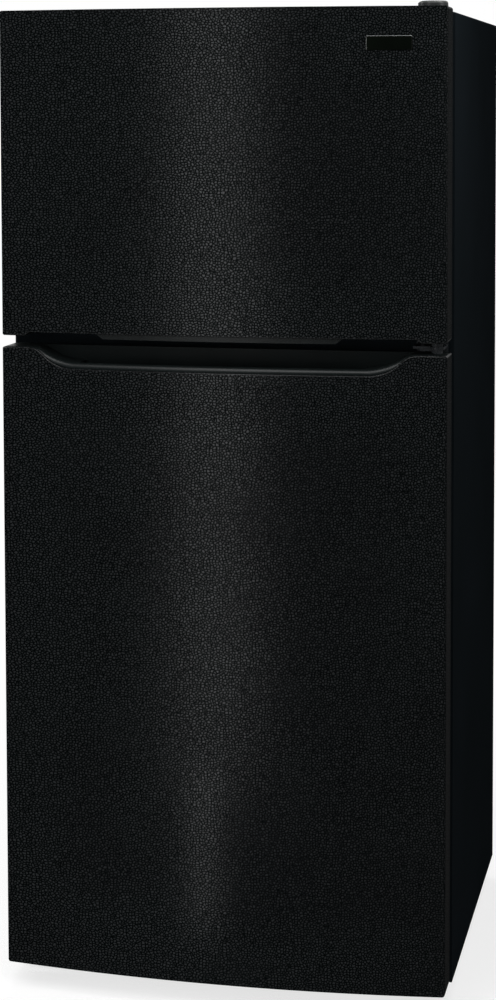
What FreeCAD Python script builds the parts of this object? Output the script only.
import FreeCAD, Part
import Sketcher
import math
import os

# A top-freezer refrigerator, 30 inches wide, built as one parametric document in millimetres.
# +X is to the viewer's right, +Y to the back and +Z up. The origin is on the floor, at the middle
# of the plan of the whole appliance.

SIZES = {
    # the whole cabinet
    "cabinet_width": 760,
    "cabinet_depth": 650,
    "cabinet_height": 1628,
    "floor_clearance": 35,
    "sheet_steel": 1,
    "front_flange_width": 40,
    # doors
    "door_side_inset": 2,
    "door_depth": 62,
    "door_bow": 26,
    "door_corner_radius": 4,
    "door_end_rounding": 5,
    "door_foot_rise": 5,
    "door_top_rise": 7,
    "fridge_door_height": 1065,
    "door_gap": 19,
    "gasket_gap": 16,
    "gasket_width": 16,
    "gasket_inset": 18,
    "gasket_play": 0.3,
    "gasket_edge": 3,
    "gasket_land": 9,
    "cap_thickness": 6,
    "hem_thickness": 4,
    "hem_depth": 8,
    "hem_rounding": 2.5,
    # walls and cavities
    "fridge_wall": 45,
    "freezer_wall": 60,
    "floor_wall": 45,
    "divider_thickness": 64,
    "liner_thickness": 2,
    "deck_height": 60,
    "machine_bay_depth": 172,
    "machine_bay_height": 215,
    "cavity_corner_radius": 18,
    "ledge_width": 8,
    "ledge_height": 10,
    # handle pocket in the fridge door and grip lip on the freezer door
    "scoop_side_gap": 47,
    "scoop_run": 81,
    "scoop_drop": 34,
    "scoop_shoulder_radius": 40,
    "rim_height": 9,
    "rim_thickness": 14,
    "rim_rounding": 7,
    "pocket_back_wall": 14,
    "pocket_depth_below_rim": 32,
    "pocket_wall": 4,
    "pocket_rounding": 5,
    "grip_recess": 6.5,
    "grip_recess_side_gap": 38,
    "grip_ramp": 15,
    "grip_side_gap": 169,
    "grip_end_slope": 12,
    "grip_drop": 8.5,
    "grip_thickness": 12,
    "grip_cap_height": 30,
    "grip_pocket_height": 22,
    # door liners
    "dike_height": 49,
    "dike_width": 32,
    "dike_clearance": 12,
    "door_panel_rise": 14,
    "moulded_corner_radius": 10,
    # hinge axis, pins and plates
    "hinge_inset": 20,
    "hinge_pin_radius": 4,
    "hinge_pin_clearance": 0.05,
    "hinge_pin_length": 24,
    "hinge_boss_radius": 9,
    "hinge_plate_thickness": 4,
    "hinge_plate_width": 40,
    "hinge_cover_height": 9,
    "hinge_cover_wall": 2,
    "running_gap": 0.3,
    # storage on the doors
    "bin_wall": 2.5,
    "bin_depth": 100,
    "bin_corner_radius": 12,
    "bin_rail_depth": 6,
    "bin_rail_height": 14,
    "bin_height": 90,
    "bin_pitch": 230,
    "first_bin_height": 300,
    "gallon_bin_height": 120,
    "freezer_rack_height": 85,
    "freezer_rack_pitch": 190,
    "dairy_width": 280,
    "dairy_height": 84,
    "dairy_ear_width": 4,
    "dairy_pin_radius": 3,
    "dairy_pull_half_width": 30,
    # cabinet walls and shelves
    "shell_corner_radius": 3,
    "liner_lip": 5,
    "upper_shelf_height": 650,
    "lower_shelf_height": 420,
    "crisper_cover_height": 195,
    "freezer_shelf_height": 210,
    "shelf_setback": 135,
    "shelf_back_gap": 13,
    "evaporator_space": 75,
    # base, legs and rollers
    "apron_rise": 25,
    "leg_inset": 38,
    "leg_setback": 45,
    "leg_foot_radius": 18,
    "leg_foot_height": 5,
    "leg_shank_radius": 5,
    "leg_top_gap": 4,
    "leg_nut_thickness": 4,
    "leg_bracket_half_width": 24,
    "bracket_thickness": 2,
    "grille_thickness": 3,
    "grille_bottom": 12,
    "grille_tongue": 18,
    "grille_bar": 6,
    "grille_slot_width": 8,
    "grille_slot_pitch": 16,
    "grille_slot_count": 36,
    "tray_rise": 5,
    "tray_thickness": 1.5,
    "tray_lip": 18,
    "roller_inset": 35,
    "roller_setback": 45,
    "roller_radius": 22,
    "roller_width": 18,
    "roller_side_gap": 1.5,
    "roller_axle_radius": 4,
    "roller_edge": 2,
    # hinge details
    "hinge_plate_nose": 12,
    "pin_end_gap": 1,
    "top_hinge_riser_setback": 10,
    "top_hinge_foot_length": 70,
    "top_hinge_foot_inset": 13,
    "top_hinge_foot_half_width": 10,
    "centre_flange_half_height": 11,
    "centre_tab_inset": 18,
    "centre_tab_half_width": 11,
    "centre_tab_drop": 4,
    "bottom_hinge_drop": 2,
    "bottom_flange_height": 56,
    "screw_radius": 2.5,
    "screw_head_radius": 4,
    "screw_head_height": 2.5,
    "screw_pitch": 20,
    "hinge_cover_half_width": 24.5,
    "hinge_cover_inset": 8.5,
    "hinge_cover_overlap": 5,
    "hinge_cover_side_gap": 1,
    "hinge_cover_rounding": 4.5,
    "screws_per_hinge": 2,
    # machine bay
    "compressor_side_gap": 180,
    "compressor_radius": 72,
    "compressor_height": 158,
    "compressor_seam_rise": 87,
    "compressor_dome_radius": 34,
    "seam_width": 3,
    "seam_height": 5,
    "mount_height": 14,
    "mount_radius": 11,
    "mount_waist_radius": 8,
    "mount_waist_height": 4,
    "mount_spacing_x": 150,
    "mount_spacing_y": 104,
    "terminal_box_depth": 34,
    "terminal_box_half_width": 28,
    "terminal_box_height": 62,
    "condenser_side_gap": 75,
    "condenser_right": -80,
    "condenser_rise": 14,
    "condenser_pitch": 24,
    "condenser_run_count": 5,
    "condenser_wire_count": 7,
    "condenser_tube_radius": 3,
    "condenser_wire_radius": 0.8,
    "drain_pan_height": 24,
    "drain_pan_half_width": 66,
    "fan_blade_count": 4,
    "fan_blade_width": 34,
    "fan_blade_root": 16,
    "fan_tip_radius": 20,
    "fan_blade_thickness": 1.6,
    "fan_depth": 14,
    "fan_hub_radius": 13,
    "fan_pitch": 28,
    "fan_motor_radius": 19,
    "fan_motor_length": 30,
    "fan_shaft_radius": 2.5,
    "fan_shaft_end": 3,
    "condenser_fan_gap": 12,
    "condenser_fan_height": 84,
    "condenser_fan_radius": 62,
    "cover_slot_margin": 24,
    "cover_slot_width": 9,
    "cover_slot_stretch": 560,
    "cover_slot_count": 29,
    "gland_radius": 8,
    "gland_bore": 4,
    "cord_gland_side_gap": 60,
    # freezer interior
    "evaporator_half_width": 240,
    "evaporator_end_gap": 6,
    "evaporator_rise": 12,
    "evaporator_pitch": 36,
    "evaporator_run_count": 4,
    "evaporator_tube_radius": 4,
    "fin_half_depth": 19,
    "fin_thickness": 0.8,
    "fin_count": 17,
    "end_plate_thickness": 1.5,
    "evaporator_fan_radius": 50,
    "cover_wall": 2.5,
    "air_slot_stretch": 300,
    "air_slot_height": 72,
    "air_slot_count": 16,
    "return_slot_height": 22,
    "shelf_side_gap": 2,
    "shelf_wire_radius": 2,
    "shelf_wire_count": 19,
    "shelf_weld_sink": 0.8,
    "shelf_bar_radius": 3.5,
    "shelf_bar_count": 3,
    "shelf_stay_count": 4,
    "shelf_stay_radius": 2.5,
    "shelf_wire_margin": 14,
    "shelf_front_rise": 16,
    # fresh-food interior
    "control_setback": 225,
    "control_depth": 180,
    "control_height": 52,
    "control_half_width": 150,
    "lens_left": 10,
    "lens_width": 110,
    "lens_setback": 40,
    "lens_depth": 90,
    "lens_drop": 4,
    "knob_x": -80,
    "knob_radius": 20,
    "knob_grip_radius": 15,
    "knob_bar_reach": 19,
    "knob_skirt": 4,
    "knob_depth": 16,
    "knob_bar_half": 4,
    "knob_shaft_radius": 3,
    "knob_shaft_length": 8,
    "switch_x": 215,
    "switch_half_width": 14,
    "switch_standoff": 12,
    "switch_depth": 34,
    "switch_bore_depth": 28,
    "plunger_radius": 5,
    "plunger_engagement": 22,
    "shelf_glass_thickness": 4,
    "shelf_frame_ledge": 4,
    "shelf_frame_rim": 7,
    "shelf_nose_drop": 6,
    "shelf_nose_rise": 3,
    "glass_gap": 0.3,
    "crisper_rail_drop": 26,
    "crisper_rim_thickness": 3,
    "crisper_floor_gap": 10,
    "crisper_centre_gap": 4,
    "crisper_wall_gap": 29,
    "crisper_back_gap": 10,
    "crisper_rim_width": 12,
    "crisper_front_reach": 14,
    "crisper_front_thickness": 3,
    "crisper_pull_height": 26,
    "rail_web": 3,
    "rail_thickness": 4,
}

doc = FreeCAD.newDocument("TopFreezerRefrigerator")
sheet = doc.addObject("Spreadsheet::Sheet", "Sizes")
for row, (word, number) in enumerate(SIZES.items(), start=1):
    sheet.set(f"A{row}", word)
    sheet.set(f"B{row}", str(number))
    sheet.setAlias(f"B{row}", word)
doc.recompute()


# ---------------------------------------------------------------- sizes that know their formula

class Size:
    """A length that carries its formula in the sheet, so that what it drives follows the sheet."""

    def __init__(self, value, formula):
        self.value = float(value)
        self.formula = formula

    def __add__(self, other):
        other = as_size(other)
        return Size(self.value + other.value, f"({self.formula} + {other.formula})")

    def __sub__(self, other):
        other = as_size(other)
        return Size(self.value - other.value, f"({self.formula} - {other.formula})")

    def __mul__(self, other):
        other = as_size(other)
        return Size(self.value * other.value, f"({self.formula} * {other.formula})")

    def __truediv__(self, other):
        other = as_size(other)
        return Size(self.value / other.value, f"({self.formula} / {other.formula})")

    def __radd__(self, other):
        return as_size(other) + self

    def __rsub__(self, other):
        return as_size(other) - self

    def __rmul__(self, other):
        return as_size(other) * self

    def __neg__(self):
        return as_size(0) - self


def as_size(number):
    """A Size as it is, or a plain number as a Size."""
    return number if isinstance(number, Size) else Size(number, repr(float(number)))


def root(size):
    """The square root of a Size."""
    return Size(math.sqrt(size.value), f"sqrt({size.formula})")


class Sheet:
    """The sheet's cells as attributes, one Size each."""

    def __getattr__(self, word):
        return Size(sheet.get(word), f"Sizes.{word}")


s = Sheet()


# ---------------------------------------------------------------- helpers that make objects

SUB_PARTS = []
# how close a place or a direction has to be to count as the same
NEAR = 0.01
PARALLEL = 0.999
SIDES = (("left", -1), ("right", 1))


def bind(item, prop, size):
    """Ties one property of an object to a formula in the sheet."""
    item.setExpression(prop, as_size(size).formula)


def put(item, x=0, y=0, z=0):
    """Moves an object to a place whose coordinates follow the sheet."""
    for letter, coordinate in zip("xyz", (x, y, z)):
        bind(item, f"Placement.Base.{letter}", coordinate)
    return item


def sub_part(item, label):
    """Gives a finished object its name and puts it in the list that is written out."""
    item.Label = label
    SUB_PARTS.append(item)
    return item


def both_ways(half):
    """The stretch from minus a length to plus that length."""
    return (-half, half)


def on_side(sign, x):
    """A stretch of X given for the right side, on the left (-1) or on the right (+1)."""
    return x if sign > 0 else (-x[1], -x[0])


def block(name, x, y, z):
    """A box that spans the given stretch along each axis."""
    piece = doc.addObject("Part::Box", name)
    bind(piece, "Length", x[1] - x[0])
    bind(piece, "Width", y[1] - y[0])
    bind(piece, "Height", z[1] - z[0])
    return put(piece, x[0], y[0], z[0])


TURNS = {
    "X": FreeCAD.Rotation(FreeCAD.Vector(0, 1, 0), 90),
    "Y": FreeCAD.Rotation(FreeCAD.Vector(1, 0, 0), -90),
    "Z": FreeCAD.Rotation(),
}


def rod(name, radius, start, length, along="Z"):
    """A round bar from its start, along one axis."""
    piece = doc.addObject("Part::Cylinder", name)
    bind(piece, "Radius", radius)
    bind(piece, "Height", length)
    piece.Placement = FreeCAD.Placement(FreeCAD.Vector(), TURNS[along])
    return put(piece, *start)


def joined(name, *pieces):
    """Several overlapping or touching shapes as one."""
    piece = doc.addObject("Part::MultiFuse", name)
    piece.Shapes = list(pieces)
    piece.Refine = True
    return piece


def grouped(name, *pieces):
    """Several separate shapes kept apart in one object."""
    piece = doc.addObject("Part::Compound", name)
    piece.Links = list(pieces)
    return piece


def without(name, base, *cutters):
    """A shape with other shapes cut from it."""
    piece = doc.addObject("Part::Cut", name)
    piece.Base = base
    piece.Tool = cutters[0] if len(cutters) == 1 else joined(name + "_cutters", *cutters)
    piece.Refine = True
    return piece


def overlap_of(name, first, second):
    """The space that two shapes share."""
    piece = doc.addObject("Part::MultiCommon", name)
    piece.Shapes = [first, second]
    piece.Refine = True
    return piece


def rounded(name, base, radius, chosen):
    """A shape with the edges that chosen() picks rounded."""
    doc.recompute()
    picked = [i for i, edge in enumerate(base.Shape.Edges, start=1) if chosen(edge)]
    piece = doc.addObject("Part::Fillet", name)
    piece.Base = base
    piece.Edges = [(i, radius.value, radius.value) for i in picked]
    return piece


def runs_along(edge, letter):
    """Whether an edge is straight and parallel to an axis."""
    if not isinstance(edge.Curve, Part.Line):
        return False
    return abs(getattr(edge.tangentAt(edge.FirstParameter), letter)) > PARALLEL


def along_x(edge):
    """Whether an edge runs from side to side."""
    return runs_along(edge, "x")


def along_y(edge):
    """Whether an edge runs from front to back."""
    return runs_along(edge, "y")


def upright(edge):
    """Whether an edge stands straight up."""
    return runs_along(edge, "z")


class Bend:
    """An outline's next point, reached by an arc that turns left or right with a given radius."""

    def __init__(self, x, y, radius, turn):
        self.point = (x, y)
        self.radius = radius
        self.turn = turn


def vector(point):
    """A sketch point as FreeCAD's own vector."""
    return FreeCAD.Vector(as_size(point[0]).value, as_size(point[1]).value, 0)


def arc_between(start, end, radius, turn):
    """The minor arc from start to end that turns left (+1) or right (-1)."""
    chord = end - start
    middle = (start + end) * 0.5
    across = FreeCAD.Vector(-chord.y, chord.x, 0).normalize() * turn
    centre = middle + across * math.sqrt(max(radius**2 - (chord.Length / 2) ** 2, 0))
    low, high = (start, end) if turn > 0 else (end, start)
    first = math.atan2(low.y - centre.y, low.x - centre.x)
    last = math.atan2(high.y - centre.y, high.x - centre.x)
    return Part.ArcOfCircle(Part.Circle(centre, FreeCAD.Vector(0, 0, 1), radius), first, last)


def pin(sketch, geometry, end, point):
    """Holds one sketch point at coordinates that follow the sheet."""
    for kind, coordinate in zip(("DistanceX", "DistanceY"), point):
        size = as_size(coordinate)
        index = sketch.addConstraint(Sketcher.Constraint(kind, -1, 1, geometry, end, size.value))
        bind(sketch, f"Constraints[{index}]", size)


def outline(sketch, path):
    """A closed outline through the points of a path, with straight sides and bends."""
    points = [step.point if isinstance(step, Bend) else step for step in path]
    first = sketch.GeometryCount
    ends = []
    for i, point in enumerate(points):
        following = path[(i + 1) % len(path)]
        start, end = vector(point), vector(points[(i + 1) % len(path)])
        if isinstance(following, Bend):
            arc = arc_between(start, end, following.radius.value, following.turn)
            sketch.addGeometry(arc, False)
            ends.append((1, 2) if following.turn > 0 else (2, 1))
        else:
            sketch.addGeometry(Part.LineSegment(start, end), False)
            ends.append((1, 2))
    for i, point in enumerate(points):
        before = (i - 1) % len(path)
        join = Sketcher.Constraint("Coincident", first + before, ends[before][1], first + i, ends[i][0])
        sketch.addConstraint(join)
        pin(sketch, first + i, ends[i][0], point)
    for i in range(len(path)):
        following = path[(i + 1) % len(path)]
        if isinstance(following, Bend):
            index = sketch.addConstraint(Sketcher.Constraint("Radius", first + i, following.radius.value))
            bind(sketch, f"Constraints[{index}]", following.radius)


def sketched(body, plane, name, *paths):
    """A sketch on one of the body's own planes, with one or more closed outlines."""
    sketch = body.newObject("Sketcher::SketchObject", name)
    support = next(item for item in body.Origin.OriginFeatures if item.Role == plane + "_Plane")
    sketch.AttachmentSupport = (support, "")
    sketch.MapMode = "FlatFace"
    for path in paths:
        outline(sketch, path)
    return sketch


def prism(name, plane, span, *paths):
    """A body whose outline, drawn on XY, XZ or YZ, is padded over the stretch along the third axis."""
    body = doc.addObject("PartDesign::Body", name)
    sketch = sketched(body, plane, name + "_outline", *paths)
    pad = body.newObject("PartDesign::Pad", name + "_pad")
    pad.Profile = sketch
    sketch.Visibility = False
    bind(pad, "Length", span[1] - span[0])
    # a pad leaves the XZ plane towards -Y, and the other two planes towards + of their third axis
    if plane == "XZ":
        put(body, y=span[1])
    elif plane == "YZ":
        put(body, x=span[0])
    else:
        put(body, z=span[0])
    return body


def turned(name, path, place, tilt="Z"):
    """A body of revolution: a half outline (radius, height) turned about its own axis."""
    body = doc.addObject("PartDesign::Body", name)
    sketch = sketched(body, "XZ", name + "_outline", path)
    turn = body.newObject("PartDesign::Revolution", name + "_turn")
    turn.Profile = sketch
    turn.ReferenceAxis = (sketch, ["V_Axis"])
    turn.Angle = 360
    body.Placement = FreeCAD.Placement(FreeCAD.Vector(), TURNS[tilt])
    return put(body, *place)


def softened(body, radius, chosen):
    """Rounds the edges of a body that chosen() picks, as a feature of that body."""
    doc.recompute()
    tip = body.Tip
    picked = [f"Edge{i}" for i, edge in enumerate(tip.Shape.Edges, start=1) if chosen(edge)]
    fillet = body.newObject("PartDesign::Fillet", body.Name + "_rounding")
    fillet.Base = (tip, picked)
    bind(fillet, "Radius", radius)
    return body


def rectangle(x, y):
    """The four corners of a rectangle that spans two stretches."""
    return [(x[0], y[0]), (x[1], y[0]), (x[1], y[1]), (x[0], y[1])]


# ---------------------------------------------------------------- places that several pieces share

HALF_WIDTH = s.cabinet_width / 2
CABINET_BACK = (s.cabinet_depth + s.gasket_gap + s.door_depth + s.door_bow) / 2
CABINET_FACE = CABINET_BACK - s.cabinet_depth
DOOR_BACK = CABINET_FACE - s.gasket_gap
DOOR_CORNER = DOOR_BACK - s.door_depth
DOOR_HALF = HALF_WIDTH - s.door_side_inset
CABINET_BOTTOM = s.floor_clearance
CABINET_TOP = CABINET_BOTTOM + s.cabinet_height
FOAM_BOTTOM = CABINET_BOTTOM + s.deck_height

FRIDGE_DOOR_BOTTOM = CABINET_BOTTOM + s.door_foot_rise
FRIDGE_DOOR_TOP = FRIDGE_DOOR_BOTTOM + s.fridge_door_height
FREEZER_DOOR_BOTTOM = FRIDGE_DOOR_TOP + s.door_gap
FREEZER_DOOR_TOP = CABINET_TOP + s.door_top_rise
DOOR_GAP_MIDDLE = FRIDGE_DOOR_TOP + s.door_gap / 2

FRIDGE_FLOOR = FOAM_BOTTOM + s.floor_wall
FRIDGE_CEILING = DOOR_GAP_MIDDLE - s.divider_thickness / 2
FREEZER_FLOOR = DOOR_GAP_MIDDLE + s.divider_thickness / 2
FREEZER_CEILING = CABINET_TOP - s.freezer_wall
FRIDGE_HALF = HALF_WIDTH - s.fridge_wall
FREEZER_HALF = HALF_WIDTH - s.freezer_wall
FRIDGE_BACK = CABINET_BACK - s.fridge_wall
FREEZER_BACK = CABINET_BACK - s.freezer_wall

BAY_FRONT = CABINET_BACK - s.machine_bay_depth
BAY_TOP = CABINET_BOTTOM + s.machine_bay_height
STEP_FRONT = BAY_FRONT - s.fridge_wall
STEP_TOP = BAY_TOP + s.fridge_wall

HINGE_X = DOOR_HALF - s.hinge_inset
HINGE_Y = DOOR_BACK - s.door_depth / 2
PIN_BORE = s.hinge_pin_radius + s.hinge_pin_clearance

BOW_RADIUS = (DOOR_HALF * DOOR_HALF + s.door_bow * s.door_bow) / (2 * s.door_bow)
BOW_CENTRE = DOOR_CORNER - s.door_bow + BOW_RADIUS
LINER_FLANGE = DOOR_BACK - s.liner_thickness
DOOR_PANEL = DOOR_BACK + s.door_panel_rise
DIKE_FACE = DOOR_BACK + s.dike_height
DOOR_APEX = DOOR_CORNER - s.door_bow
SCOOP_HALF = DOOR_HALF - s.scoop_side_gap
SCOOP_LOW_HALF = SCOOP_HALF - s.scoop_run
SCOOP_LOW = FRIDGE_DOOR_TOP - s.scoop_drop
RIM_TOP = SCOOP_LOW + s.rim_height
POCKET_FLOOR = RIM_TOP - s.pocket_depth_below_rim
POCKET_BACK = LINER_FLANGE - s.pocket_back_wall
HANDLE_CAP_BOTTOM = POCKET_FLOOR - s.pocket_wall
GRIP_CAP_TOP = FREEZER_DOOR_BOTTOM + s.grip_cap_height
GRIP_HALF = DOOR_HALF - s.grip_side_gap
FRIDGE_GASKET_BOTTOM = FRIDGE_FLOOR - s.gasket_land - s.gasket_width


# ---------------------------------------------------------------- doors

def is_door_corner(edge):
    """Whether an edge is one of the two upright corners between a door's front and its sides."""
    return upright(edge) and edge.Vertexes[0].Y < HINGE_Y.value


def door_slab(name, inset, heights, back=LINER_FLANGE):
    """The plan of a door, bowed in front, set in by the same amount at the front and sides."""
    half = DOOR_HALF - inset
    radius = BOW_RADIUS - inset
    corner = BOW_CENTRE - root(radius * radius - half * half)
    bow = Bend(half, corner, radius, turn=1)
    slab = prism(name, "XY", heights, [(-half, back), (-half, corner), bow, (half, back)])
    if inset.value >= s.door_corner_radius.value:
        return slab
    return softened(slab, s.door_corner_radius - inset, is_door_corner)


def scooped(name, high_half, low_half, low, top, depth):
    """What lies above a scooped edge: level in the middle, an S-shaped shoulder each side, level ends."""
    run = high_half - low_half
    drop = top - low
    shoulder = s.scoop_shoulder_radius
    foot = (run * run + drop * drop) / (2 * drop) - shoulder
    share = shoulder / (shoulder + foot)
    join_x = high_half - run * share
    join_z = top - shoulder + (shoulder + foot - drop) * share
    over = FRIDGE_DOOR_TOP + s.cap_thickness
    path = [
        (-DOOR_HALF, top),
        (-high_half, top),
        Bend(-join_x, join_z, shoulder, turn=-1),
        Bend(-low_half, low, foot, turn=1),
        (low_half, low),
        Bend(join_x, join_z, foot, turn=1),
        Bend(high_half, top, shoulder, turn=-1),
        (DOOR_HALF, top),
        (DOOR_HALF, over),
        (-DOOR_HALF, over),
    ]
    return prism(name, "XZ", depth, path)


def recessed(name, rise):
    """What lies below a door's bottom edge that steps up in two S-shaped ramps, raised as a whole by rise."""
    low = FREEZER_DOOR_BOTTOM + rise
    high = low + s.grip_recess
    outer = DOOR_HALF - s.grip_recess_side_gap
    inner = outer - s.grip_ramp
    ramp = (s.grip_ramp * s.grip_ramp + s.grip_recess * s.grip_recess) / (4 * s.grip_recess)
    join_x = (outer + inner) / 2
    join_z = (low + high) / 2
    under = FREEZER_DOOR_BOTTOM - s.cap_thickness
    path = [
        (-DOOR_HALF, under),
        (DOOR_HALF, under),
        (DOOR_HALF, low),
        (outer, low),
        Bend(join_x, join_z, ramp, turn=-1),
        Bend(inner, high, ramp, turn=1),
        (-inner, high),
        Bend(-join_x, join_z, ramp, turn=1),
        Bend(-outer, low, ramp, turn=-1),
        (-DOOR_HALF, low),
    ]
    return prism(name, "XZ", (DOOR_APEX - s.cap_thickness, DOOR_BACK), path)


def lies_on_bow(edge, inset):
    """Whether an edge follows a door's bowed front, set in by inset, from side to side."""
    if upright(edge):
        return False
    points = [edge.valueAt(edge.FirstParameter), edge.valueAt(edge.LastParameter)]
    radius = (BOW_RADIUS - inset).value
    return all(abs(math.hypot(p.x, p.y - BOW_CENTRE.value) - radius) < NEAR for p in points)


def door_face(name, y, heights):
    """A door's outline as seen from the front, with its four rounded corners, over a stretch of depth."""
    face = prism(name, "XZ", y, rectangle(both_ways(DOOR_HALF), heights))
    return softened(face, s.door_end_rounding, along_y)


def end_rounded(name, piece, heights):
    """What a door's rounded outline leaves of a piece at the door's end."""
    depth = (DOOR_APEX - s.cap_thickness, DOOR_BACK)
    return overlap_of(name, piece, door_face(name + "_face", depth, heights))


def hemmed_skin(name, heights, edge_form, hem_form, ends):
    """A bowed sheet whose shaped edge is folded back into a thick rounded hem."""
    outside = door_slab(name + "_outside", as_size(0), heights, DOOR_BACK)
    inside = door_slab(name + "_inside", s.sheet_steel, heights, DOOR_BACK)
    behind_hem = door_slab(name + "_behind_hem", s.hem_thickness, heights, DOOR_BACK)
    sheet_space = without(name + "_sheet_space", inside, hem_form)
    sharp = without(name + "_sharp", outside, edge_form, sheet_space, behind_hem)
    low, high = ends[0].value - NEAR, ends[1].value + NEAR

    def is_hem_edge(edge):
        return lies_on_bow(edge, as_size(0)) and all(low < vertex.Z < high for vertex in edge.Vertexes)

    rolled = rounded(name + "_rolled", sharp, s.hem_rounding, is_hem_edge)
    return sub_part(end_rounded(name, rolled, heights), name)


def raised_form(name, half, heights, inset):
    """The form that a door liner is drawn over: a dike all round a shallower panel."""
    outer = rectangle(both_ways(half - inset), (heights[0] + inset, heights[1] - inset))
    border = s.dike_width - inset
    inner = rectangle(both_ways(half - border), (heights[0] + border, heights[1] - border))
    dike = prism(name + "_dike", "XZ", (LINER_FLANGE, DIKE_FACE - inset), outer)
    softened(dike, s.moulded_corner_radius - inset, along_y)
    recess = prism(name + "_recess", "XZ", (DOOR_PANEL - inset, DIKE_FACE), inner)
    softened(recess, s.moulded_corner_radius + inset, along_y)
    return without(name, dike, recess)


def door_liner(name, half, heights, skin, door_heights):
    """A vacuum-formed door liner: a flange inside the skin's edge, and the dike that enters the cabinet."""
    sheet = door_face(name + "_sheet", (LINER_FLANGE, DOOR_BACK), door_heights)
    flange = without(name + "_flange", sheet, skin)
    form = raised_form(name + "_outside", half, heights, as_size(0))
    hollow = raised_form(name + "_hollow", half, heights, s.liner_thickness)
    return sub_part(without(name, joined(name + "_solid", flange, form), hollow), name)


def door_gasket(name, low, high):
    """A magnetic gasket: a closed frame between the door's back and the cabinet's face."""
    half = DOOR_HALF - s.gasket_inset
    width = s.gasket_width
    frame = prism(
        name,
        "XZ",
        (DOOR_BACK, CABINET_FACE - s.gasket_play),
        rectangle(both_ways(half), (low, high)),
        rectangle(both_ways(half - width), (low + width, high - width)),
    )
    return sub_part(frame, name)


FRIDGE_DIKE_HALF = FRIDGE_HALF - s.dike_clearance
FRIDGE_DIKE = (FRIDGE_FLOOR + s.dike_clearance, FRIDGE_CEILING - s.dike_clearance)
FREEZER_DIKE_HALF = FREEZER_HALF - s.dike_clearance
FREEZER_DIKE = (FREEZER_FLOOR + s.dike_clearance, FREEZER_CEILING - s.dike_clearance)


def hinge_bore(name, low, high):
    """The hole that a hinge pin turns in."""
    return rod(name, PIN_BORE, (HINGE_X, HINGE_Y, low), high - low)


def fridge_door():
    """The lower door: bowed skin with a scooped top edge, handle cap, bottom cap, foam, liner and gasket."""
    door = (FRIDGE_DOOR_BOTTOM, FRIDGE_DOOR_TOP)
    halves = (SCOOP_HALF, SCOOP_LOW_HALF)
    before = DOOR_APEX - s.cap_thickness
    scoop = scooped("fridge_skin_scoop", *halves, SCOOP_LOW, FRIDGE_DOOR_TOP, (before, DOOR_CORNER))
    hem_z = (SCOOP_LOW - s.hem_depth, FRIDGE_DOOR_TOP - s.hem_depth)
    hem = scooped("fridge_skin_hem", *halves, *hem_z, (before, DOOR_BACK))
    skin = hemmed_skin("fridge_door_skin", door, scoop, hem, (SCOOP_LOW, FRIDGE_DOOR_TOP))

    cap_z = (HANDLE_CAP_BOTTOM, FRIDGE_DOOR_TOP)
    below_hem = without("handle_cap_below_hem", door_slab("handle_cap_solid", s.sheet_steel, cap_z), hem)
    behind_hem = door_slab("handle_cap_behind_hem", s.hem_thickness, cap_z)
    low_half = SCOOP_LOW_HALF - s.rim_rounding
    notch_edge = (SCOOP_HALF - s.pocket_wall, low_half, RIM_TOP, FRIDGE_DOOR_TOP)
    notch = scooped("handle_notch", *notch_edge, (before, POCKET_BACK))
    notched = without("handle_cap_notched", behind_hem, notch)
    lowest = RIM_TOP.value - NEAR

    def is_rim_edge(edge):
        return lies_on_bow(edge, s.hem_thickness) and all(vertex.Z > lowest for vertex in edge.Vertexes)

    rim = rounded("handle_cap_rim", notched, s.rim_rounding, is_rim_edge)
    whole = joined("handle_cap_whole", rim, below_hem)
    pocket_z = (POCKET_FLOOR, RIM_TOP)
    behind_rim = door_slab("handle_behind_rim", s.hem_thickness + s.rim_thickness, pocket_z)
    pocket_span = block("handle_pocket_span", both_ways(low_half), (DOOR_APEX, POCKET_BACK), pocket_z)
    pocket = overlap_of("handle_pocket", behind_rim, pocket_span)
    pocket = rounded("handle_pocket_rounded", pocket, s.pocket_rounding, upright)
    bore = hinge_bore("fridge_door_top_bore", FRIDGE_DOOR_TOP - s.hinge_pin_length, FRIDGE_DOOR_TOP)
    cap = without("handle_cap_bored", whole, pocket, bore)
    sub_part(end_rounded("fridge_door_handle_cap", cap, door), "fridge_door_handle_cap")

    cap_top = FRIDGE_DOOR_BOTTOM + s.cap_thickness
    bottom = door_slab("fridge_bottom_cap_plate", s.sheet_steel, (FRIDGE_DOOR_BOTTOM, cap_top))
    boss_height = s.hinge_pin_length + s.cap_thickness
    boss = rod("fridge_bottom_boss", s.hinge_boss_radius, (HINGE_X, HINGE_Y, FRIDGE_DOOR_BOTTOM), boss_height)
    bore = hinge_bore("fridge_door_bottom_bore", FRIDGE_DOOR_BOTTOM, FRIDGE_DOOR_BOTTOM + s.hinge_pin_length)
    with_boss = joined("fridge_bottom_cap_solid", bottom, boss)
    cap = without("fridge_bottom_cap_bored", with_boss, bore)
    sub_part(end_rounded("fridge_door_bottom_cap", cap, door), "fridge_door_bottom_cap")

    foam = door_slab("fridge_door_foam_slab", s.sheet_steel, (cap_top, HANDLE_CAP_BOTTOM))
    form = raised_form("fridge_door_foam_form", FRIDGE_DIKE_HALF, FRIDGE_DIKE, s.liner_thickness)
    filling = joined("fridge_door_foam_solid", foam, form)
    sub_part(without("fridge_door_foam", filling, boss), "fridge_door_foam")
    door_liner("fridge_door_liner", FRIDGE_DIKE_HALF, FRIDGE_DIKE, skin, door)
    door_gasket("fridge_door_gasket", FRIDGE_GASKET_BOTTOM, FRIDGE_DOOR_TOP - s.gasket_edge)


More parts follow.
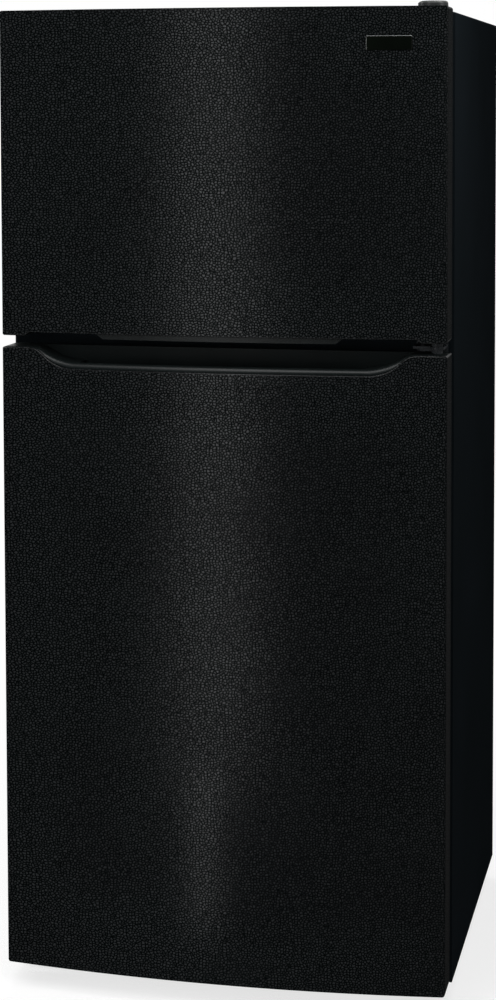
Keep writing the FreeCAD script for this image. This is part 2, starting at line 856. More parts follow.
def freezer_door():
    """The upper door: bowed skin, bottom cap with its grip lip, top cap, foam, liner and gasket."""
    door = (FREEZER_DOOR_BOTTOM, FREEZER_DOOR_TOP)
    bottom = FREEZER_DOOR_BOTTOM
    recess_top = bottom + s.grip_recess
    recess = recessed("freezer_bottom_recess", as_size(0))
    hem = recessed("freezer_bottom_hem", s.hem_depth)
    skin = hemmed_skin("freezer_door_skin", door, recess, hem, (bottom, recess_top))

    cap_z = (bottom, GRIP_CAP_TOP)
    above_hem = without("grip_cap_above_hem", door_slab("grip_cap_solid", s.sheet_steel, cap_z), hem)
    behind_hem = door_slab("grip_cap_behind_hem", s.hem_thickness, cap_z)
    recessed_cap = without("grip_cap_recessed", joined("grip_cap_whole", above_hem, behind_hem), recess)
    cap = end_rounded("grip_cap_rounded", recessed_cap, door)
    grip_foot = GRIP_HALF - s.grip_end_slope
    lip_path = [
        (-grip_foot, recess_top - s.grip_drop),
        (grip_foot, recess_top - s.grip_drop),
        (GRIP_HALF, recess_top),
        (-GRIP_HALF, recess_top),
    ]
    lip_block = prism("grip_lip_block", "XZ", (DOOR_APEX, DOOR_CORNER), lip_path)
    pocket_z = (bottom - s.grip_drop, recess_top + s.grip_pocket_height)
    behind_lip = door_slab("grip_behind_lip", s.hem_thickness + s.grip_thickness, pocket_z)
    lip_plan = door_slab("grip_lip_plan", s.hem_thickness, (pocket_z[0], recess_top))
    lip = overlap_of("grip_lip_bowed", lip_block, lip_plan)
    pocket_span = block("grip_pocket_span", both_ways(grip_foot), (DOOR_APEX, POCKET_BACK), pocket_z)
    pocket = overlap_of("grip_pocket", behind_lip, pocket_span)
    bore = hinge_bore("freezer_door_bottom_bore", bottom, bottom + s.hinge_pin_length)
    with_lip = joined("grip_cap_with_lip", cap, lip)
    sub_part(without("freezer_door_grip_cap", with_lip, pocket, bore), "freezer_door_grip_cap")

    cap_bottom = FREEZER_DOOR_TOP - s.cap_thickness
    plate = door_slab("freezer_top_cap_plate", s.sheet_steel, (cap_bottom, FREEZER_DOOR_TOP))
    boss_height = s.hinge_pin_length + s.cap_thickness
    boss_foot = FREEZER_DOOR_TOP - boss_height
    boss = rod("freezer_top_boss", s.hinge_boss_radius, (HINGE_X, HINGE_Y, boss_foot), boss_height)
    bore = hinge_bore("freezer_door_top_bore", FREEZER_DOOR_TOP - s.hinge_pin_length, FREEZER_DOOR_TOP)
    with_boss = joined("freezer_top_cap_solid", plate, boss)
    cap = without("freezer_top_cap_bored", with_boss, bore)
    sub_part(end_rounded("freezer_door_top_cap", cap, door), "freezer_door_top_cap")

    foam = door_slab("freezer_door_foam_slab", s.sheet_steel, (GRIP_CAP_TOP, cap_bottom))
    form = raised_form("freezer_door_foam_form", FREEZER_DIKE_HALF, FREEZER_DIKE, s.liner_thickness)
    filling = joined("freezer_door_foam_solid", foam, form)
    sub_part(without("freezer_door_foam", filling, boss), "freezer_door_foam")
    door_liner("freezer_door_liner", FREEZER_DIKE_HALF, FREEZER_DIKE, skin, door)
    door_gasket("freezer_door_gasket", bottom + s.gasket_edge, FREEZER_DOOR_TOP - s.gasket_inset)


# ---------------------------------------------------------------- storage on the doors

def tray(name, x, y, z, wall, corner):
    """An open tray: rounded upright corners, one wall thickness, open at the top."""
    outside = softened(prism(name + "_outside", "XY", z, rectangle(x, y)), corner, upright)
    inner_x, inner_y = (x[0] + wall, x[1] - wall), (y[0] + wall, y[1] - wall)
    inside = prism(name + "_inside", "XY", (z[0] + wall, z[1]), rectangle(inner_x, inner_y))
    softened(inside, corner - wall, upright)
    return without(name + "_tray", outside, inside)


def door_rack(name, half, foot, height):
    """A rack moulded as a tray between the dikes, with a rolled rail along its top edge."""
    front = DOOR_PANEL + s.bin_depth
    top = foot + height
    body = tray(name, both_ways(half), (DOOR_PANEL, front), (foot, top), s.bin_wall, s.bin_corner_radius)
    rail_y = (front - s.bin_rail_depth, front + s.bin_rail_depth / 2)
    rail = block(name + "_rail", both_ways(half), rail_y, (top - s.bin_rail_height, top))
    return joined(name, body, rounded(name + "_rail_rounded", rail, s.bin_wall / 2, along_x))


def door_racks(name, half, foot, ceiling, pitch, height):
    """The racks of one door, one above the other, as many as fit under a ceiling."""
    count = 1 + int((ceiling - foot - height).value // pitch.value)
    racks = [door_rack(f"{name}_{i + 1}", half, foot + i * pitch, height) for i in range(count)]
    return grouped(name + "s", *racks)


def freezer_racks():
    """The racks on the freezer door."""
    foot = FREEZER_DIKE[0] + s.dike_width + s.moulded_corner_radius
    ceiling = FREEZER_DIKE[1] - s.dike_width - s.moulded_corner_radius
    half = FREEZER_DIKE_HALF - s.dike_width
    racks = door_racks("freezer_rack", half, foot, ceiling, s.freezer_rack_pitch, s.freezer_rack_height)
    sub_part(racks, "freezer_door_racks")


def fridge_bins():
    """The deep bin at the foot of the fridge door and the bins above it."""
    half = FRIDGE_DIKE_HALF - s.dike_width
    foot = FRIDGE_DIKE[0] + s.dike_width + s.moulded_corner_radius
    sub_part(door_rack("gallon_bin", half, foot, s.gallon_bin_height), "gallon_bin")
    first = foot + s.first_bin_height
    racks = door_racks("fridge_rack", half, first, DAIRY_BOTTOM, s.bin_pitch, s.bin_height)
    sub_part(racks, "fridge_door_bins")


DAIRY_FRONT = DOOR_PANEL + s.bin_depth
DAIRY_TOP = FRIDGE_DIKE[1] - s.dike_width - s.moulded_corner_radius
DAIRY_BOTTOM = DAIRY_TOP - s.dairy_height
DAIRY_LEFT = -(FRIDGE_DIKE_HALF - s.dike_width)
DAIRY_RIGHT = DAIRY_LEFT + s.dairy_width
LID_AXIS_Y = DAIRY_FRONT + s.dairy_pin_radius + s.running_gap
LID_AXIS_Z = DAIRY_TOP - s.dairy_pin_radius * 2


def dairy():
    """A covered compartment at the top of the fridge door, and the lid that swings up on its ears."""
    wall = s.bin_wall
    x = (DAIRY_LEFT, DAIRY_RIGHT)
    outside = block("dairy_outside", x, (DOOR_PANEL, DAIRY_FRONT), (DAIRY_BOTTOM, DAIRY_TOP))
    inner_z = (DAIRY_BOTTOM + wall, DAIRY_TOP - wall)
    inside = block("dairy_inside", (x[0] + wall, x[1] - wall), (DOOR_PANEL + wall, DAIRY_FRONT), inner_z)
    ears = []
    bores = []
    ear_y = (DAIRY_FRONT - wall, LID_AXIS_Y + s.dairy_pin_radius * 2)
    ear_z = (LID_AXIS_Z - s.dairy_pin_radius * 2, DAIRY_TOP)
    bore = s.dairy_pin_radius + s.hinge_pin_clearance
    for i, side in enumerate((x[0], x[1] - s.dairy_ear_width)):
        ears.append(block(f"dairy_ear_{i + 1}", (side, side + s.dairy_ear_width), ear_y, ear_z))
        bores.append(rod(f"dairy_bore_{i + 1}", bore, (side, LID_AXIS_Y, LID_AXIS_Z), s.dairy_ear_width, "X"))
    shell = without("dairy_shell", outside, inside)
    with_ears = joined("dairy_with_ears", shell, *ears)
    sub_part(without("dairy_compartment", with_ears, *bores), "dairy_compartment")

    lid_x = (x[0] + s.dairy_ear_width + s.running_gap, x[1] - s.dairy_ear_width - s.running_gap)
    lid_y = (DAIRY_FRONT + s.running_gap, DAIRY_FRONT + s.running_gap + wall)
    plate = block("dairy_lid_plate", lid_x, lid_y, (DAIRY_BOTTOM, LID_AXIS_Z))
    barrel = rod("dairy_lid_barrel", s.dairy_pin_radius, (x[0], LID_AXIS_Y, LID_AXIS_Z), x[1] - x[0], "X")
    middle = (x[0] + x[1]) / 2
    pull_x = (middle - s.dairy_pull_half_width, middle + s.dairy_pull_half_width)
    pull_y = (lid_y[1], lid_y[1] + s.bin_rail_depth)
    pull = block("dairy_lid_pull", pull_x, pull_y, (DAIRY_BOTTOM, DAIRY_BOTTOM + wall))
    sub_part(joined("dairy_lid", plate, barrel, pull), "dairy_lid")


# ---------------------------------------------------------------- cabinet walls

FLANGE_HALF = HALF_WIDTH - s.front_flange_width
SHELL_INSIDE = HALF_WIDTH - s.sheet_steel
FOAM_FRONT = CABINET_FACE + s.sheet_steel
FOAM_BACK = CABINET_BACK - s.sheet_steel
FOAM_TOP = CABINET_TOP - s.sheet_steel
APRON_TOP = FRIDGE_FLOOR - s.liner_lip
APRON_BOTTOM = CABINET_BOTTOM + s.apron_rise
DECK_BOTTOM = FOAM_BOTTOM - s.sheet_steel


def is_shoulder(edge):
    """Whether an edge is one of the long upper corners of the cabinet."""
    return along_y(edge) and edge.Vertexes[0].Z > FRIDGE_CEILING.value


def cabinet_shell():
    """One steel sheet folded over the top and down both sides, with a flange round the front."""
    outer = rectangle(both_ways(HALF_WIDTH), (CABINET_BOTTOM, CABINET_TOP))
    outside = prism("shell_outside", "XZ", (CABINET_FACE, CABINET_BACK), outer)
    softened(outside, s.shell_corner_radius, is_shoulder)
    inner = rectangle(both_ways(SHELL_INSIDE), (CABINET_BOTTOM, FOAM_TOP))
    inside = prism("shell_inside", "XZ", (FOAM_FRONT, CABINET_BACK), inner)
    softened(inside, s.shell_corner_radius - s.sheet_steel, is_shoulder)
    mouth_z = (CABINET_BOTTOM, CABINET_TOP - s.front_flange_width)
    mouth = block("shell_mouth", both_ways(FLANGE_HALF), (CABINET_FACE, FOAM_FRONT), mouth_z)
    sub_part(without("cabinet_shell", outside, inside, mouth), "cabinet_shell")


def cavity_form(name, half, back, heights, inset, step=None):
    """The space inside a liner, widened all round by inset; step is a bench (front, top) at the back."""
    low, high = heights[0] - inset, heights[1] + inset
    mouth, rear = FOAM_FRONT, back + inset
    floor = [(mouth, low), (rear, low)]
    bench_edge = None
    if step:
        bench_edge = (step[0] - inset, step[1] - inset)
        floor = [(mouth, low), (bench_edge[0], low), bench_edge, (rear, bench_edge[1])]
    form = prism(name, "YZ", both_ways(half + inset), floor + [(rear, high), (mouth, high)])

    def is_rounded(edge):
        at_mouth = all(abs(vertex.Y - mouth.value) < NEAR for vertex in edge.Vertexes)
        return not at_mouth and not (bench_edge and lies_at(edge, bench_edge))

    return softened(form, s.cavity_corner_radius + inset, is_rounded)


def lies_at(edge, place):
    """Whether an edge runs from side to side at a given place in Y and Z."""
    y, z = (size.value for size in place)
    return all(abs(vertex.Y - y) < NEAR and abs(vertex.Z - z) < NEAR for vertex in edge.Vertexes)


FRIDGE_HEIGHTS = (FRIDGE_FLOOR, FRIDGE_CEILING)
FREEZER_HEIGHTS = (FREEZER_FLOOR, FREEZER_CEILING)
BENCH = (STEP_FRONT, STEP_TOP)


def fridge_form(name, inset):
    """The fresh-food space, with the bench over the machine bay."""
    return cavity_form(name, FRIDGE_HALF, FRIDGE_BACK, FRIDGE_HEIGHTS, inset, BENCH)


def freezer_form(name, inset):
    """The freezer's space."""
    return cavity_form(name, FREEZER_HALF, FREEZER_BACK, FREEZER_HEIGHTS, inset)


def insulation():
    """The foam that fills the walls, the floor and the divider as one piece."""
    solid = block("foam_block", both_ways(SHELL_INSIDE), (FOAM_FRONT, FOAM_BACK), (FOAM_BOTTOM, FOAM_TOP))
    bay = block("foam_bay", both_ways(HALF_WIDTH), (BAY_FRONT, CABINET_BACK), (CABINET_BOTTOM, BAY_TOP))
    fridge = fridge_form("foam_fridge_cavity", s.liner_thickness)
    freezer = freezer_form("foam_freezer_cavity", s.liner_thickness)
    shaped = rounded("foam_block_rounded", solid, s.shell_corner_radius - s.sheet_steel, is_shoulder)
    sub_part(without("cabinet_foam", shaped, bay, fridge, freezer), "cabinet_foam")


def ledges(name, half, tops, y):
    """Pairs of moulded ledges on the side walls, one pair per shelf, short of the rounded back corners."""
    pieces = []
    short_y = (y[0], y[1] - s.ledge_width)
    for i, top in enumerate(tops):
        for side, sign in SIDES:
            x = on_side(sign, (half - s.ledge_width, half))
            pieces.append(block(f"{name}_ledge_{side}_{i + 1}", x, short_y, (top - s.ledge_height, top)))
    return pieces


def liner(name, form, mouth, tops, half, y):
    """A vacuum-formed cabinet liner: walls, a lip that meets the steel front, and shelf ledges."""
    outside = form(name + "_outside", s.liner_thickness)
    inside = form(name + "_inside", as_size(0))
    lip = block(name + "_lip", both_ways(FLANGE_HALF), (CABINET_FACE, FOAM_FRONT), mouth)
    opening = form(name + "_opening", as_size(0))
    put(opening, x=-half, y=-s.sheet_steel)
    walls = without(name + "_walls", outside, inside)
    rim = without(name + "_rim", lip, opening)
    return sub_part(joined(name, walls, rim, *ledges(name, half, tops, y)), name)


UPPER_SHELF = FRIDGE_FLOOR + s.upper_shelf_height
LOWER_SHELF = FRIDGE_FLOOR + s.lower_shelf_height
CRISPER_COVER = FRIDGE_FLOOR + s.crisper_cover_height
FREEZER_SHELF = FREEZER_FLOOR + s.freezer_shelf_height
SHELF_FRONT = CABINET_FACE + s.shelf_setback
SHELF_BACK = FRIDGE_BACK - s.shelf_back_gap
COVER_FRONT = FREEZER_BACK - s.evaporator_space


def liners():
    """Both liners, the steel strip over the divider between them, and the sheet that closes the back."""
    shelf_y = (SHELF_FRONT, SHELF_BACK)
    fridge_tops = (UPPER_SHELF, LOWER_SHELF, CRISPER_COVER)
    divider = (FRIDGE_CEILING + s.liner_lip, FREEZER_FLOOR - s.liner_lip)
    liner("fridge_liner", fridge_form, (APRON_TOP, divider[0]), fridge_tops, FRIDGE_HALF, shelf_y)
    freezer_mouth = (divider[1], CABINET_TOP - s.front_flange_width)
    freezer_y = (SHELF_FRONT, COVER_FRONT - s.shelf_back_gap)
    liner("freezer_liner", freezer_form, freezer_mouth, (FREEZER_SHELF,), FREEZER_HALF, freezer_y)
    strip = block("divider_strip", both_ways(FLANGE_HALF), (CABINET_FACE, FOAM_FRONT), divider)
    sub_part(strip, "divider_strip")
    panel = block("back_panel_sheet", both_ways(SHELL_INSIDE), (FOAM_BACK, CABINET_BACK), (BAY_TOP, FOAM_TOP))
    sub_part(rounded("back_panel", panel, s.shell_corner_radius - s.sheet_steel, is_shoulder), "back_panel")


# ---------------------------------------------------------------- base, legs and rollers

LEG_X = HALF_WIDTH - s.leg_inset
LEG_Y = CABINET_FACE + s.leg_setback
ROLLER_X = HALF_WIDTH - s.roller_inset
ROLLER_Y = CABINET_BACK - s.roller_setback
TRAY_TOP = CABINET_BOTTOM + s.tray_rise


def base_frame():
    """The steel deck under the foam, its step over the machine bay, the front apron and the leg brackets."""
    deck = block("base_deck", both_ways(SHELL_INSIDE), (FOAM_FRONT, BAY_FRONT), (DECK_BOTTOM, FOAM_BOTTOM))
    riser_y = (BAY_FRONT, BAY_FRONT + s.sheet_steel)
    riser = block("base_riser", both_ways(SHELL_INSIDE), riser_y, (DECK_BOTTOM, BAY_TOP))
    ceiling_z = (BAY_TOP - s.sheet_steel, BAY_TOP)
    ceiling = block("base_bay_ceiling", both_ways(SHELL_INSIDE), (BAY_FRONT, FOAM_BACK), ceiling_z)
    apron = block("base_apron", both_ways(FLANGE_HALF), (CABINET_FACE, FOAM_FRONT), (APRON_BOTTOM, APRON_TOP))
    pieces = [deck, riser, ceiling, apron]
    bores = []
    inner = LEG_X - s.leg_bracket_half_width
    bracket_y = (FOAM_FRONT, LEG_Y + s.leg_bracket_half_width)
    rear_y = (bracket_y[1] - s.bracket_thickness, bracket_y[1])
    nut_z = (APRON_BOTTOM, APRON_BOTTOM + s.leg_nut_thickness)
    web_z = (APRON_BOTTOM, DECK_BOTTOM)
    bore = s.leg_shank_radius + s.hinge_pin_clearance
    for side, sign in SIDES:
        wide = on_side(sign, (inner, SHELL_INSIDE))
        web_x = on_side(sign, (inner, inner + s.bracket_thickness))
        pieces.append(block(f"leg_plate_{side}", wide, bracket_y, nut_z))
        pieces.append(block(f"leg_web_{side}", web_x, bracket_y, web_z))
        pieces.append(block(f"leg_rear_web_{side}", wide, rear_y, web_z))
        bores.append(rod(f"leg_bore_{side}", bore, (LEG_X * sign, LEG_Y, nut_z[0]), s.leg_nut_thickness))
    sub_part(without("base_frame", joined("base_frame_solid", *pieces), *bores), "base_frame")


def levelling_legs():
    """A foot disc with a coned back on a round shank, one under each front corner."""
    foot, shank = s.leg_foot_radius, s.leg_shank_radius
    cone_top = s.leg_foot_height * 2
    path = [
        (0, 0),
        (foot, 0),
        (foot, s.leg_foot_height),
        (foot / 2, cone_top),
        (shank, cone_top),
        (shank, DECK_BOTTOM - s.leg_top_gap),
        (0, DECK_BOTTOM - s.leg_top_gap),
    ]
    for side, sign in SIDES:
        name = f"{side}_levelling_leg"
        sub_part(turned(name, path, (LEG_X * sign, LEG_Y, 0)), name)


def toe_grille():
    """A slotted panel under the apron, whose tongue stands behind it."""
    half = LEG_X - s.leg_bracket_half_width - s.running_gap
    y = (FOAM_FRONT, FOAM_FRONT + s.grille_thickness)
    z = (s.grille_bottom, APRON_BOTTOM + s.grille_tongue)
    grille = prism("toe_grille", "XZ", y, rectangle(both_ways(half), z))
    first = -half + s.grille_slot_pitch
    slot_z = (z[0] + s.grille_bar, APRON_BOTTOM - s.grille_bar)
    slot = rectangle((first, first + s.grille_slot_width), slot_z)
    repeat_slot(grille, slot, half * 2 - s.grille_slot_pitch * 2 - s.grille_slot_width, s.grille_slot_count)
    sub_part(grille, "toe_grille")


def repeat_slot(body, path, length, count):
    """Cuts a slot through a panel drawn on XZ and repeats it along X."""
    sketch = sketched(body, "XZ", body.Name + "_slot", path)
    pocket = body.newObject("PartDesign::Pocket", body.Name + "_pocket")
    pocket.Profile = sketch
    pocket.Type = "ThroughAll"
    pocket.SideType = "Symmetric"
    pattern = body.newObject("PartDesign::LinearPattern", body.Name + "_slots")
    pattern.Originals = [pocket]
    pattern.Direction = (sketch, ["H_Axis"])
    bind(pattern, "Length", length)
    bind(pattern, "Occurrences", count)
    body.Tip = pattern


def compressor_tray():
    """The steel tray under the machine bay, with a well, two ears and an axle for each rear roller."""
    plate_z = (TRAY_TOP - s.tray_thickness, TRAY_TOP)
    front_y = (BAY_FRONT - s.tray_thickness, BAY_FRONT)
    rear_y = (FOAM_BACK - s.tray_thickness, FOAM_BACK)
    sheet_metal = joined(
        "tray_sheet",
        block("tray_plate", both_ways(SHELL_INSIDE), (BAY_FRONT, FOAM_BACK), plate_z),
        block("tray_front", both_ways(SHELL_INSIDE), front_y, (plate_z[0], DECK_BOTTOM)),
        block("tray_rear", both_ways(SHELL_INSIDE), rear_y, (plate_z[0], TRAY_TOP + s.tray_lip)),
    )
    wells = []
    fittings = []
    half = s.roller_width / 2 + s.roller_side_gap
    well_half = s.roller_radius + s.roller_side_gap
    well_y = (ROLLER_Y - well_half, ROLLER_Y + well_half)
    ear_half = s.roller_radius / 2
    ear_y = (ROLLER_Y - ear_half, ROLLER_Y + ear_half)
    ear_z = (s.roller_radius - ear_half, TRAY_TOP)
    axle_half = half + s.bracket_thickness * 2
    for side, sign in SIDES:
        middle = ROLLER_X * sign
        wells.append(block(f"roller_well_{side}", (middle - half, middle + half), well_y, plate_z))
        for i, ear_x in enumerate((middle - half - s.bracket_thickness, middle + half)):
            ear = (ear_x, ear_x + s.bracket_thickness)
            fittings.append(block(f"roller_ear_{side}_{i + 1}", ear, ear_y, ear_z))
        start = (middle - axle_half, ROLLER_Y, s.roller_radius)
        fittings.append(rod(f"roller_axle_{side}", s.roller_axle_radius, start, axle_half * 2, "X"))
    # the axles run through the wells, so the wells are cut before the axles join
    with_wells = without("tray_with_wells", sheet_metal, *wells)
    sub_part(joined("compressor_tray", with_wells, *fittings), "compressor_tray")


def rear_rollers():
    """A wheel with chamfered rims on each axle of the tray."""
    half = s.roller_width / 2
    bore = s.roller_axle_radius + s.hinge_pin_clearance
    edge = s.roller_edge
    path = [
        (bore, -half),
        (s.roller_radius - edge, -half),
        (s.roller_radius, -half + edge),
        (s.roller_radius, half - edge),
        (s.roller_radius - edge, half),
        (bore, half),
    ]
    for side, sign in SIDES:
        name = f"{side}_rear_roller"
        sub_part(turned(name, path, (ROLLER_X * sign, ROLLER_Y, s.roller_radius), "X"), name)


# ---------------------------------------------------------------- hinges

HINGE_PLATE_X = (HINGE_X - s.hinge_plate_width, HINGE_X + s.hinge_plate_nose)
HINGE_FLANGE_Y = (CABINET_FACE - s.hinge_plate_thickness, CABINET_FACE)
RISER_Y = CABINET_FACE + s.top_hinge_riser_setback
TOP_FOOT_X = HINGE_X - s.top_hinge_foot_inset
TOP_FOOT_SIDES = (TOP_FOOT_X - s.top_hinge_foot_half_width, TOP_FOOT_X + s.top_hinge_foot_half_width)
FOOT_BACK = RISER_Y + s.top_hinge_foot_length
SCREWS_PER_HINGE = int(s.screws_per_hinge.value)


def on_hinge_axis(name, radius, low, high):
    """An upright round piece about the doors' common axis."""
    return rod(name, radius, (HINGE_X, HINGE_Y, low), high - low)


def hinge_angle(name, plate_z, flange_z):
    """An arm from its round nose back to the cabinet's face, and the flange that is screwed to the face."""
    return [
        on_hinge_axis(name + "_nose", s.hinge_plate_nose, *plate_z),
        block(name + "_arm", HINGE_PLATE_X, (HINGE_Y, CABINET_FACE), plate_z),
        block(name + "_flange", HINGE_PLATE_X, HINGE_FLANGE_Y, flange_z),
    ]


def screwed_down(name, pieces, places, along):
    """Joins the pieces of a hinge, bores it for its screws, and makes the screws that hold it."""
    thick = s.hinge_plate_thickness
    holes = []
    screws = []
    for i, (x, y, z) in enumerate(places):
        holes.append(rod(f"{name}_hole_{i + 1}", s.screw_radius, (x, y, z), thick, along))
        shank = rod(f"{name}_shank_{i + 1}", s.screw_radius, (x, y, z), thick, along)
        head_start = (x, y - s.screw_head_height, z) if along == "Y" else (x, y, z + thick)
        head = rod(f"{name}_head_{i + 1}", s.screw_head_radius, head_start, s.screw_head_height, along)
        screws.append(joined(f"{name}_screw_{i + 1}", shank, head))
    sub_part(without(name, joined(name + "_solid", *pieces), *holes), name)
    return screws


def flange_screw_places(z):
    """A row of screw places along a hinge's flange."""
    first = HINGE_PLATE_X[0] + s.screw_pitch / 2
    return [(first + s.screw_pitch * i, HINGE_FLANGE_Y[0], z) for i in range(SCREWS_PER_HINGE)]


def nosed(x, radius):
    """The front of a plan that ends in a half circle over the doors' axis."""
    return [
        (x - radius, HINGE_Y),
        Bend(x, HINGE_Y - radius, radius, turn=1),
        Bend(x + radius, HINGE_Y, radius, turn=1),
    ]


def top_hinge():
    """A foot on the cabinet's top, a riser, an arm out to the doors' axis and the pin that hangs from it."""
    thick = s.hinge_plate_thickness
    arm_z = (FREEZER_DOOR_TOP + s.running_gap, FREEZER_DOOR_TOP + s.running_gap + thick)
    arm = nosed(HINGE_X, s.hinge_plate_nose) + [(TOP_FOOT_SIDES[1], RISER_Y), (TOP_FOOT_SIDES[0], RISER_Y)]
    foot_z = (CABINET_TOP, CABINET_TOP + thick)
    pin_foot = FREEZER_DOOR_TOP - s.hinge_pin_length + s.pin_end_gap
    pieces = [
        prism("top_hinge_arm", "XY", arm_z, arm),
        block("top_hinge_riser", TOP_FOOT_SIDES, (RISER_Y - thick, RISER_Y), (CABINET_TOP, arm_z[1])),
        block("top_hinge_foot", TOP_FOOT_SIDES, (RISER_Y - thick, FOOT_BACK), foot_z),
        on_hinge_axis("top_hinge_pin", s.hinge_pin_radius, pin_foot, arm_z[1]),
    ]
    first = RISER_Y + s.screw_pitch / 2
    places = [(TOP_FOOT_X, first + s.screw_pitch * i, CABINET_TOP) for i in range(SCREWS_PER_HINGE)]
    return screwed_down("top_hinge", pieces, places, "Z")


def centre_hinge():
    """An angle in the gap between the doors, with a turned-down tab and one pin that enters both doors."""
    half = s.hinge_plate_thickness / 2
    plate_z = (DOOR_GAP_MIDDLE - half, DOOR_GAP_MIDDLE + half)
    flange_half = s.centre_flange_half_height
    flange_z = (DOOR_GAP_MIDDLE - flange_half, DOOR_GAP_MIDDLE + flange_half)
    reach = s.hinge_pin_length - s.pin_end_gap
    pin_z = (FRIDGE_DOOR_TOP - reach, FREEZER_DOOR_BOTTOM + reach)
    washer_z = (FRIDGE_DOOR_TOP + s.running_gap, FREEZER_DOOR_BOTTOM - s.running_gap)
    pieces = hinge_angle("centre_hinge", plate_z, flange_z)
    tab_middle = HINGE_X - s.centre_tab_inset
    tab_x = (tab_middle - s.centre_tab_half_width, tab_middle + s.centre_tab_half_width)
    tab_z = (plate_z[0] - s.centre_tab_drop, plate_z[1])
    pieces.append(block("centre_hinge_tab", tab_x, (HINGE_Y, HINGE_Y + s.hinge_plate_thickness), tab_z))
    pieces.append(on_hinge_axis("centre_hinge_pin", s.hinge_pin_radius, *pin_z))
    pieces.append(on_hinge_axis("centre_hinge_washer", s.hinge_boss_radius, *washer_z))
    places = flange_screw_places((plate_z[1] + flange_z[1]) / 2)
    return screwed_down("centre_hinge", pieces, places, "Y")


def bottom_hinge():
    """An angle under the fridge door, screwed to the foot of the cabinet's face."""
    plate_top = FRIDGE_DOOR_BOTTOM - s.bottom_hinge_drop
    plate_z = (plate_top - s.hinge_plate_thickness, plate_top)
    flange_z = (plate_z[0], plate_z[0] + s.bottom_flange_height)
    pin_top = FRIDGE_DOOR_BOTTOM + s.hinge_pin_length - s.pin_end_gap
    washer_z = (plate_top, FRIDGE_DOOR_BOTTOM - s.running_gap)
    pieces = hinge_angle("bottom_hinge", plate_z, flange_z)
    pieces.append(on_hinge_axis("bottom_hinge_pin", s.hinge_pin_radius, plate_z[0], pin_top))
    pieces.append(on_hinge_axis("bottom_hinge_washer", s.hinge_boss_radius, *washer_z))
    places = flange_screw_places(flange_z[1] - s.screw_head_radius * 2)
    return screwed_down("bottom_hinge", pieces, places, "Y")


def hinges():
    """The three hinges, and all their screws in one sub-part."""
    screws = top_hinge() + centre_hinge() + bottom_hinge()
    sub_part(grouped("hinge_screws", *screws), "hinge_screws")


def cover_plan(inset):
    """The plan of the top hinge's cover: a round nose over the door, and sides that run back to the foot."""
    nose = nosed(HINGE_X - s.hinge_cover_inset, s.hinge_cover_half_width - inset)
    clear = s.hinge_cover_side_gap + s.hinge_cover_wall - inset
    rear = FOOT_BACK + s.hinge_cover_overlap - inset
    return nose + [(TOP_FOOT_SIDES[1] + clear, rear), (TOP_FOOT_SIDES[0] - clear, rear)]


def top_hinge_cover():
    """A moulded cover: over the door it is shallow, and behind the door it reaches down to the cabinet."""
    wall = s.hinge_cover_wall
    z = (FREEZER_DOOR_TOP + s.running_gap, FREEZER_DOOR_TOP + s.hinge_cover_height)
    skirt_front = RISER_Y - s.hinge_plate_thickness - s.hinge_cover_overlap
    plan = cover_plan(as_size(0))
    skirt_z = (CABINET_TOP, z[1])
    reach = block("hinge_cover_reach", both_ways(HALF_WIDTH), (skirt_front, CABINET_BACK), skirt_z)
    skirt = overlap_of("hinge_cover_skirt", prism("hinge_cover_tail", "XY", skirt_z, plan), reach)
    solid = joined("hinge_cover_solid", prism("hinge_cover_lid", "XY", z, plan), skirt)

    def is_lid_edge(edge):
        return all(abs(vertex.Z - z[1].value) < NEAR for vertex in edge.Vertexes)

    dome = rounded("hinge_cover_dome", solid, s.hinge_cover_rounding, is_lid_edge)
    inner_plan = cover_plan(wall)
    inner_top = z[1] - wall
    room_z = (CABINET_TOP, inner_top)
    room = block("hinge_cover_room", both_ways(HALF_WIDTH), (skirt_front + wall, CABINET_BACK), room_z)
    under_skirt = prism("hinge_cover_tail_space", "XY", room_z, inner_plan)
    space = [
        prism("hinge_cover_lid_space", "XY", (z[0], inner_top), inner_plan),
        overlap_of("hinge_cover_skirt_space", under_skirt, room),
    ]
    sub_part(without("top_hinge_cover", dome, *space), "top_hinge_cover")


# ---------------------------------------------------------------- machine bay

COMPRESSOR_X = HALF_WIDTH - s.compressor_side_gap
COMPRESSOR_Y = BAY_FRONT + s.machine_bay_depth / 2
MOUNT_TOP = TRAY_TOP + s.mount_height
COMPRESSOR_FOOT = MOUNT_TOP + s.tray_thickness


def around(middle, half):
    """The stretch from half before a middle to half beyond it."""
    return (middle - half, middle + half)


def compressor():
    """A welded can with domed ends and a seam, on a foot plate, with a terminal box at its side."""
    radius = s.compressor_radius
    low = COMPRESSOR_FOOT
    top = low + s.compressor_height
    seam = around(low + s.compressor_seam_rise, s.seam_height / 2)
    dome = s.compressor_dome_radius
    path = [
        (0, low),
        (radius - dome, low),
        Bend(radius, low + dome, dome, turn=1),
        (radius, seam[0]),
        (radius + s.seam_width, seam[0]),
        (radius + s.seam_width, seam[1]),
        (radius, seam[1]),
        (radius, top - dome),
        Bend(radius - dome, top, dome, turn=1),
        (0, top),
    ]
    can = turned("compressor_can", path, (COMPRESSOR_X, COMPRESSOR_Y, 0))
    foot_x = around(COMPRESSOR_X, s.mount_spacing_x / 2 + s.mount_radius)
    foot_y = around(COMPRESSOR_Y, s.mount_spacing_y / 2 + s.mount_radius)
    foot = prism("compressor_foot", "XY", (MOUNT_TOP, low), rectangle(foot_x, foot_y))
    softened(foot, s.mount_radius, upright)
    box_x = (COMPRESSOR_X + radius - s.seam_width, COMPRESSOR_X + radius + s.terminal_box_depth)
    box_y = around(COMPRESSOR_Y, s.terminal_box_half_width)
    box_z = (low + s.mount_height, low + s.mount_height + s.terminal_box_height)
    terminal_box = block("compressor_terminal_box", box_x, box_y, box_z)
    sub_part(joined("compressor", can, foot, terminal_box), "compressor")


